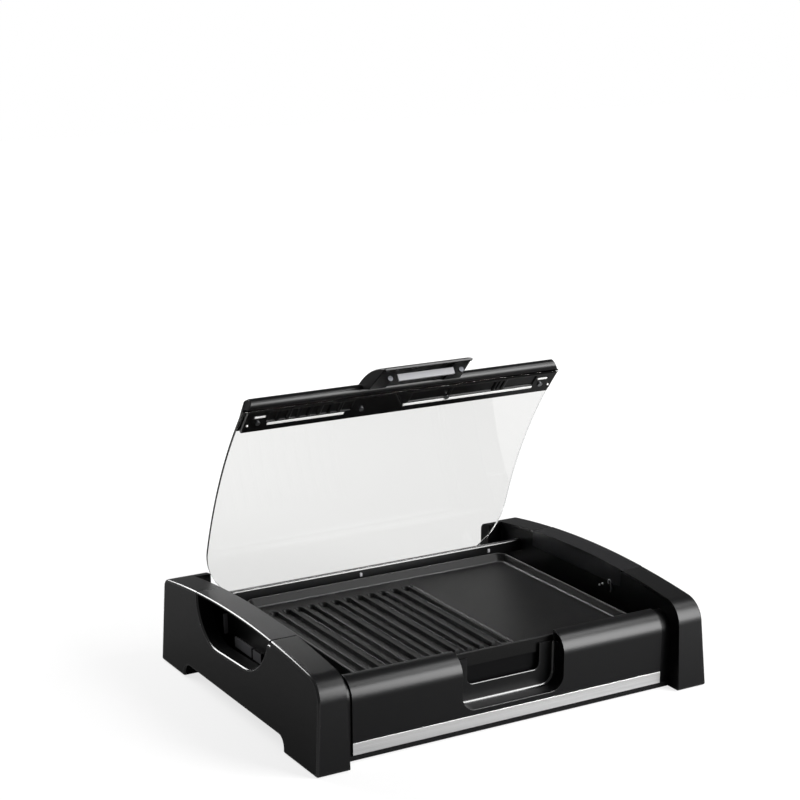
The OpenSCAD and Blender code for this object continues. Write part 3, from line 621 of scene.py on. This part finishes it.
bm = bmesh.new()
middle = Matrix.Translation((0, sum(RAIL_Y) / 2, sum(RAIL_Z) / 2))
spans = (2 * INNER_X, RAIL_Y[1] - RAIL_Y[0], RAIL_Z[1] - RAIL_Z[0], 1)
bmesh.ops.create_cube(bm, size=1, matrix=middle @ Matrix.Diagonal(spans))
top_edges = [e for e in bm.edges if min(v.co.z for v in e.verts) > sum(RAIL_Z) / 2]
round_edges(bm, top_edges, RAIL_BEAD, 4, BEAD)
piece(bm, "rear_deck_rail", [housing_black, bead_black], "housing_plastic", "base",
      ["rear_rail"])


# Rail lugs: two small moulded lugs on the front of the rail that stop the plate sliding back.
# Their pale satin plastic stands out against the black rail.
LUG_XS = (-20, 175)
LUG_HALF = 1.9
LUG_Y = (RAIL_Y[0] - 1.9, RAIL_Y[0] + 0.2)
LUG_Z = (RAIL_Z[0] + 5, RAIL_Z[0] + 10)
LUG_R = 0.8

lug_grey = moulded("pale grey moulded lugs", "#9a9a9d", 0.4, 0.6, 0.06)
bm = bmesh.new()
for x in LUG_XS:
    block(bm, (x - LUG_HALF, x + LUG_HALF), LUG_Y, LUG_Z, LUG_R)
piece(bm, "rail_lugs", [lug_grey], "grey_plastic", "base", ["rail_studs"])


# Lid glass: tempered, bent to a long arch, with its rear corners cut to a large radius. The
# cut edge is ground round, so it bends the light and reads as a thin dark line.
HINGE = (144.3, 55.1)
OPEN = 64.4
GLASS_R = 600
GLASS_T = 4
GLASS_Y = (-160, 152)
GLASS_X = 220
GLASS_CORNER = 80
GROUND_R = 1.3
ACROSS = 16
RAIL_GAP = 1.2
LID_MID = -2
LID_C = RAIL_Z[1] + RAIL_GAP - math.sqrt(GLASS_R**2 - (RAIL_Y[1] - LID_MID) ** 2)

lid_open = (Matrix.Translation((0, *HINGE)) @ Matrix.Rotation(math.radians(-OPEN), 4, "X")
            @ Matrix.Translation((0, -HINGE[0], -HINGE[1])))


def glass_z(y, off=0):
    """Height of the shut glass's lower face at y, or of a face that far above it."""
    return LID_C + math.sqrt((GLASS_R + off) ** 2 - (y - LID_MID) ** 2)


def lid_piece(bm, *facts, **more):
    """Makes a piece that is drawn on the shut lid and turns it up to the open rest pose."""
    bm.transform(lid_open)
    return piece(bm, *facts, **more)


bm = bmesh.new()
rows = [(y, GLASS_X) for y in steps_between([(GLASS_Y[0], GLASS_Y[1] - GLASS_CORNER, 11)])][:-1]
for a in range(0, 91, 5):
    turn = math.radians(a)
    rows.append((GLASS_Y[1] - GLASS_CORNER * (1 - math.sin(turn)),
                 GLASS_X - GLASS_CORNER * (1 - math.cos(turn))))
for lift, flip in ((0, True), (GLASS_T, False)):
    sheet = [[bm.verts.new((w * (2 * i / ACROSS - 1), y, glass_z(y, lift)))
              for i in range(ACROSS + 1)] for y, w in rows]
    for a, b in zip(sheet, sheet[1:]):
        for i in range(ACROSS):
            quad = (a[i], a[i + 1], b[i + 1], b[i])
            bm.faces.new(quad[::-1] if flip else quad)
    edge = sheet[0] + [r[-1] for r in sheet[1:]] + sheet[-1][-2::-1] + [r[0] for r in sheet[-2:0:-1]]
    if flip:
        under = edge
for i in range(len(edge)):
    j = (i + 1) % len(edge)
    bm.faces.new((under[i], under[j], edge[j], edge[i]))
bmesh.ops.recalc_face_normals(bm, faces=bm.faces[:])
round_edges(bm, edges_sharper(bm, 60), GROUND_R)

# A faint grey tint, so that the white behind the sheet shows a shade darker.
clear, out = blank("tempered clear glass")
body = add(clear, "ShaderNodeBsdfPrincipled", {
    "Base Color": colour("#e8e8e7"), "Roughness": 0, "IOR": 1.5, "Transmission Weight": 1})
clear.node_tree.links.new(body.outputs["BSDF"], out.inputs["Surface"])
lid_piece(bm, "arched_lid_glass", [clear], "glass", "lid", ["lid_glass"])


# Front frame: a moulded black channel over the front edge of the glass, with a round nose
# that the user grips either side of the handle. Its ends draw in towards the nose.
NOSE = (-165, 104.4)
NOSE_R = 7
FRAME_REAR = -124
FRAME_ENDS = ((-176, 209), (-164, 216), (FRAME_REAR, 218))
FRAME_T = 2.4
FRAME_R = 0.9
BROW = (-139, glass_z(-139, GLASS_T + 3.6))


def frame_end(y):
    """Half width of the frame at y, between the widths at its nose and at its rear."""
    (y0, x0), (y1, x1), (y2, x2) = FRAME_ENDS
    if y < y1:
        return x0 + (x1 - x0) * min(1, max(0, (y - y0) / (y1 - y0)))
    return x1 + (x2 - x1) * (y - y1) / (y2 - y1)


bm = bmesh.new()
seat = [(y, glass_z(y, GLASS_T + 0.02)) for y in steps_between([(-160.1, FRAME_REAR, 6)])]
section = arc(NOSE, NOSE_R, 90, 300, 20) + seat
section += [(FRAME_REAR, glass_z(FRAME_REAR, GLASS_T + FRAME_T)), BROW]
loft(bm, [[(side * frame_end(y), y, z) for y, z in section] for side in (-1, 1)])
bmesh.ops.recalc_face_normals(bm, faces=bm.faces[:])
round_edges(bm, edges_sharper(bm, 40), FRAME_R, finish=BEAD)
lid_piece(bm, "lid_front_frame_moulding", [housing_black, bead_black], "housing_plastic", "lid",
          ["lid_front_frame"])


# Retainer: a thin moulding screwed up inside the frame, so that the glass is clamped between
# them. Bars and shallow pockets lighten it, and a plain block backs up the handle.
RETAINER_T = 3.4
RETAINER_Y = (-160, -125)
POCKET_D = 1.7
POCKET_Y = (-157, -140.5)
POCKETS = ((-186, -74), (6, 186))
BARS = [POCKETS[0][0] + 13.7 * i for i in range(1, 8)] + [62, 128, 134, 141]
BAR_HALF = 2.2
SLOT = (189, 206, -152.5, -148.5)
JOINT_FOOT = (-22, -166)
JOINT_END = -133
JOINT_SLANT = 0.69


def island(x, y, box):
    """1 inside a box (x0, x1, y0, y1), 0 outside it, with a soft edge."""
    return ease(min(x - box[0], box[1] - x, y - box[2], box[3] - y) + 0.5)


def retainer_face(x, y):
    """Distance of the retainer's inner face below the glass."""
    bar = max(ease(BAR_HALF + 0.5 - abs(x - at)) for at in BARS)
    hollow = max(island(x, y, (*span, *POCKET_Y)) for span in POCKETS) * (1 - bar)
    joint_x = JOINT_FOOT[0] + (y - JOINT_FOOT[1]) * JOINT_SLANT
    joint = ease(1.2 - abs(x - joint_x)) if y < JOINT_END else 0
    return RETAINER_T - POCKET_D * max(hollow, 0.8 * joint, island(abs(x), y, SLOT))


bm = bmesh.new()
xs = steps_between([(-frame_end(-140) + 2, frame_end(-140) - 2, 0.95)])
ys = steps_between([(*RETAINER_Y, 1)])
face = [[bm.verts.new((x, y, glass_z(y, -retainer_face(x, y)))) for x in xs] for y in ys]
back = [[bm.verts.new((x, y, glass_z(y, -0.05))) for x in (xs[0], xs[-1])] for y in ys]
for i in range(len(ys) - 1):
    for a, b, c, d in zip(face[i], face[i][1:], face[i + 1][1:], face[i + 1]):
        bm.faces.new((a, b, c, d))
    bm.faces.new((back[i][0], back[i][1], back[i + 1][1], back[i + 1][0]))
    for k in (0, -1):
        bm.faces.new((face[i][k], face[i + 1][k], back[i + 1][k], back[i][k]))
for k in (0, -1):
    bm.faces.new(face[k] + [back[k][1], back[k][0]])

# A shade smoother than the shells, so that the rim of each bar and pocket catches the light.
retainer_black = moulded("near-black retainer plastic", "#080808", 0.3, 0.8, 0.06, gloss=0.3)
lid_piece(bm, "pocketed_retainer", [retainer_black], "inner_plastic", "lid", ["lid_retainer"])


# Lid trim: pale strips pressed into the retainer along its rear edge, and a short tab of the same
# strip in each of its slots. Their white is painted light for the bright glass edge and the light
# through the slots.
BEAD_Y = (-138.4, -134.8)
BEAD_H = 0.9
BEADS = ((-185, -83), (-1, 187))
TAB_X = (190.5, 204.5)
TAB_Y = (-152, -149)
PIN_X = 211
PIN_Y = -137.5
PIN_R = 1.6
TRIM_R = 0.3


def on_face(bm, x, y, low, high, bevel):
    """A block on the retainer's inner face, from low to high below the glass."""
    run = [y[0] + (y[1] - y[0]) * i / 2 for i in range(3)]
    loop = [(v, glass_z(v, -low)) for v in run] + [(v, glass_z(v, -high)) for v in run[::-1]]
    rings = loft(bm, [[(at, v, z) for v, z in loop] for at in x])
    bmesh.ops.recalc_face_normals(bm, faces=bm.faces[:])
    verts = {v for ring in rings for v in ring}
    round_edges(bm, [e for e in edges_sharper(bm, 50) if verts.issuperset(e.verts)], bevel, 2)


bm = bmesh.new()
for span in BEADS:
    on_face(bm, span, BEAD_Y, RETAINER_T - POCKET_D + 0.1, RETAINER_T + BEAD_H, TRIM_R)
for side in (-1, 1):
    on_face(bm, sorted(side * x for x in TAB_X), TAB_Y, 1.5, RETAINER_T + 0.3, TRIM_R)
for side in (-1, 1):
    pin = (side * PIN_X, PIN_Y, glass_z(PIN_Y, -RETAINER_T - 0.1))
    bmesh.ops.create_uvsphere(bm, u_segments=12, v_segments=8, radius=PIN_R,
                              matrix=Matrix.Translation(pin))

# Painted light: a dull white that looks bright from every side and hardly mirrors the room.
painted_light_white = moulded("white painted light on the lid trim", "#f8f8f6", 0.45, 0.6, 0.05, gloss=0.5)
lid_piece(bm, "lid_trim_strips", [painted_light_white], "brushed_trim", "lid", ["lid_trim_line"])


# Handle: a moulded hood on the frame's nose, wide enough for four fingers. Its top runs down in
# a long curve to a lip. Underneath, two screws hold a sunk closing plate with a grey inlay.
HOOD = ((-145, 27.5), 87.2, 102.6, 149.3)
HANDLE_HALF = 60
HANDLE_FLARE = math.tan(math.radians(5))
LIP_Y = -220
LIP_LINE = [(LIP_Y + 1.6, 70.9), (LIP_Y + 4, 71.6)]
PLATE_LINE = ((-216.5, 73.4), (-177, 89))
PLATE_SUNK = 3.2
BLOCK_SHARE = 22 / HANDLE_HALF
HANDLE_R = 1.4


def handle_end(y):
    """Half width of the handle at y: its ends spread towards the frame."""
    return HANDLE_HALF + HANDLE_FLARE * (y - LIP_Y)


def hood_section(sunk):
    """Section of the handle, its closing plate sunk by a depth between the screw blocks."""
    (y0, z0), (y1, z1) = PLATE_LINE
    under = [(y0 + 0.3 * sunk, z0 + sunk), (y1, z1 + sunk)]
    foot = [(NOSE[0] - 5, NOSE[1] - 5), (NOSE[0] + 6, NOSE[1] + NOSE_R + 0.4)]
    return arc(*HOOD, 22) + LIP_LINE + under + foot


bm = bmesh.new()
inner = 1 - BLOCK_SHARE
for start, end, sunk in ((-1, -inner, 0), (inner, 1, 0), (-inner, inner, PLATE_SUNK)):
    loft(bm, [[(t * handle_end(y), y, z) for y, z in hood_section(sunk)] for t in (start, end)])
bmesh.ops.recalc_face_normals(bm, faces=bm.faces[:])
outside = [e for e in edges_sharper(bm, 50) if e.verts[0].co.x * e.verts[1].co.x > 0
           and min(abs(v.co.x) for v in e.verts) > HANDLE_HALF - 2]
round_edges(bm, outside, HANDLE_R)
lid_piece(bm, "hooded_lid_handle", [housing_black], "housing_plastic", "lid", ["lid_handle"])

# A plain satin inlay: an even grey without glints.
grey_inlay = moulded("mid grey moulded inlay", "#8d8d90", 0.4, 0.6, 0.08)
finish_nodes(grey_inlay, "handle_bar")
# Black oxide takes the brightness out of the screw heads but keeps their edges.
blackened = plain_metal("blackened steel screw heads", "#4c4d50", 0.4)
finish_nodes(blackened, "handle_screws")


# Hidden mouldings: the base tray, the wall and cover at the rear, the inlet for the heat
# control and the clamp that grips the rear edge of the glass. All share the shells' plastic.
finish_nodes(housing_black, "lid_rear_clamp", "base_tray", "rear_wall", "rear_cover",
             "control_socket")


# Hinge and fixings: steel screws, pins, arms, clips and supports, zinc plated against rust.
# The plating is bright but not mirror smooth.
plated = plain_metal("bright zinc plate", "#a9aaad", 0.34)
finish_nodes(plated, "housing_screws", "lid_screws", "clamp_screws", "left_hinge_pin",
             "right_hinge_pin", "element_clips", "left_hinge_arm", "right_hinge_arm",
             "pan_supports")


# Heater and pans: the heat reflector pan, a pressed steel fat tray, and the tubular heater, whose
# nickelled brass contacts stand in the inlet. The pan's near black is painted shade for the dark
# well under the plate. Heat has browned and dulled the heater's sheath.
painted_shade_black = moulded("near-black painted shade on the heat reflector", "#070708", 0.4, 1.5, 0.05, gloss=0.1)
finish_nodes(painted_shade_black, "heat_reflector")
rolled = plain_metal("rolled steel sheet", "#9a9b9d", 0.38)
finish_nodes(rolled, "drip_tray")
sheath = moulded("heat-darkened steel sheath", "#4f4a45", 0.5, 0.8, 0.1)
finish_nodes(sheath, "heating_element")
brass = plain_metal("nickelled brass contacts", "#d8c79a", 0.25)
finish_nodes(brass, "terminal_pins")


# Foot pads: four discs of soft rubber pressed into the housings' soles, which keep the grill
# from sliding. Rubber scatters all light, so they look flat and black.
rubber = moulded("soft black rubber", "#101011", 0.8, 0.5, 0.3)
finish_nodes(rubber, "foot_pads")


# Studio: a pale table and a white backdrop. The camera sees them white, also through the
# glass; the mouldings mirror a plain grey table, so that their sides stay black.
WORLD_FILL = 0.16
TABLE_HALF = 6
TABLE_SHADOW = 0.26
GLOW_NEAR = (0.5, 1 - TABLE_SHADOW)
GLOW_FAR = (1.6, 1)


def seen_through(owner):
    """A factor that is 1 where the camera looks, also through glass."""
    path = add(owner, "ShaderNodeLightPath")
    return add(owner, "ShaderNodeMath", {
        0: path.outputs["Is Camera Ray"], 1: path.outputs["Is Transmission Ray"]},
        operation="MAXIMUM").outputs["Value"]


world = bpy.data.worlds.new("white studio")
bpy.context.scene.world = world
world.use_nodes = True
world.node_tree.nodes.clear()
sky_out = add(world, "ShaderNodeOutputWorld")
fill = add(world, "ShaderNodeBackground", {"Color": (1, 1, 1, 1), "Strength": WORLD_FILL})
white = add(world, "ShaderNodeBackground", {"Color": (1, 1, 1, 1), "Strength": 1})
sky = add(world, "ShaderNodeMixShader", {
    0: seen_through(world), 1: fill.outputs["Background"], 2: white.outputs["Background"]})
world.node_tree.links.new(sky.outputs["Shader"], sky_out.inputs["Surface"])

table, out = blank("white table")
matt = add(table, "ShaderNodeBsdfDiffuse", {"Color": colour("#888888")})
shadow = add(table, "ShaderNodeBsdfDiffuse", {"Color": (*[TABLE_SHADOW] * 3, 1)})
place = add(table, "ShaderNodeTexCoord").outputs["Object"]
away = add(table, "ShaderNodeVectorMath", {0: place}, operation="LENGTH")
near = add(table, "ShaderNodeMapRange", {
    "Value": away.outputs["Value"], "From Min": GLOW_NEAR[0], "From Max": GLOW_FAR[0],
    "To Min": GLOW_NEAR[1], "To Max": GLOW_FAR[1]})
glow = add(table, "ShaderNodeEmission", {"Color": (1, 1, 1, 1), "Strength": near.outputs["Result"]})
both = add(table, "ShaderNodeAddShader", {0: shadow.outputs["BSDF"], 1: glow.outputs["Emission"]})
top = add(table, "ShaderNodeMixShader", {
    0: seen_through(table), 1: matt.outputs["BSDF"], 2: both.outputs["Shader"]})
table.node_tree.links.new(top.outputs["Shader"], out.inputs["Surface"])
bm = bmesh.new()
bmesh.ops.create_grid(bm, x_segments=1, y_segments=1, size=TABLE_HALF)
mesh = bpy.data.meshes.new("table")
bm.to_mesh(mesh)
bm.free()
mesh.materials.append(table)
table_top = bpy.data.objects.new("table", mesh)
bpy.context.scene.collection.objects.link(table_top)


# Soft boxes: one in front for the broad bands on the panel and shoulders, one above for the
# plate and the handle, and one behind the grill for the bright lines on its edge beads. The
# azimuth counts from the front to the right, and places and sizes are in metres.
AIM = Vector((0, 0, 0.1))
LAMPS = (
    # name, azimuth, distance, height, width, depth, watts
    ("front soft box", 34, 1.9, 0.85, 1.05, 1.4, 68),
    ("top soft box", 55, 1.05, 1.45, 0.7, 0.5, 9),
    ("rear strip", 202, 1.7, 1, 1.2, 0.8, 32),
)
for name, azimuth, distance, height, width, depth, watts in LAMPS:
    lamp = bpy.data.lights.new(name, "AREA")
    lamp.shape = "RECTANGLE"
    lamp.size, lamp.size_y, lamp.energy = width, depth, watts
    box = bpy.data.objects.new(name, lamp)
    bpy.context.scene.collection.objects.link(box)
    turn = math.radians(azimuth)
    box.location = (math.sin(turn) * distance, -math.cos(turn) * distance, height)
    box.rotation_euler = (AIM - box.location).to_track_quat("-Z", "Y").to_euler()


# Camera: a long lens in front of the grill's left corner and a little above it, aimed at the
# grill's middle. Its shift raises the frame, which leaves white space above the open lid.
CAMERA_AT = (-1.14515, -1.89787, 0.88310)
CAMERA_RIGHT = (0.855759, -0.517360, 0.004039)
CAMERA_UP = (0.180110, 0.305219, 0.935095)
CAMERA_BACK = (-0.485013, -0.799488, 0.354375)

camera = bpy.data.objects.new("camera", bpy.data.cameras.new("camera"))
bpy.context.scene.collection.objects.link(camera)
camera.data.lens = 85.93
camera.data.sensor_width = 36
camera.data.shift_x = -0.0425
camera.data.shift_y = 0.3
camera.data.clip_end = 20
turned = Matrix((CAMERA_RIGHT, CAMERA_UP, CAMERA_BACK)).transposed().to_4x4()
camera.matrix_world = Matrix.Translation(CAMERA_AT) @ turned
bpy.context.scene.camera = camera
bpy.context.scene.view_settings.view_transform = "Standard"
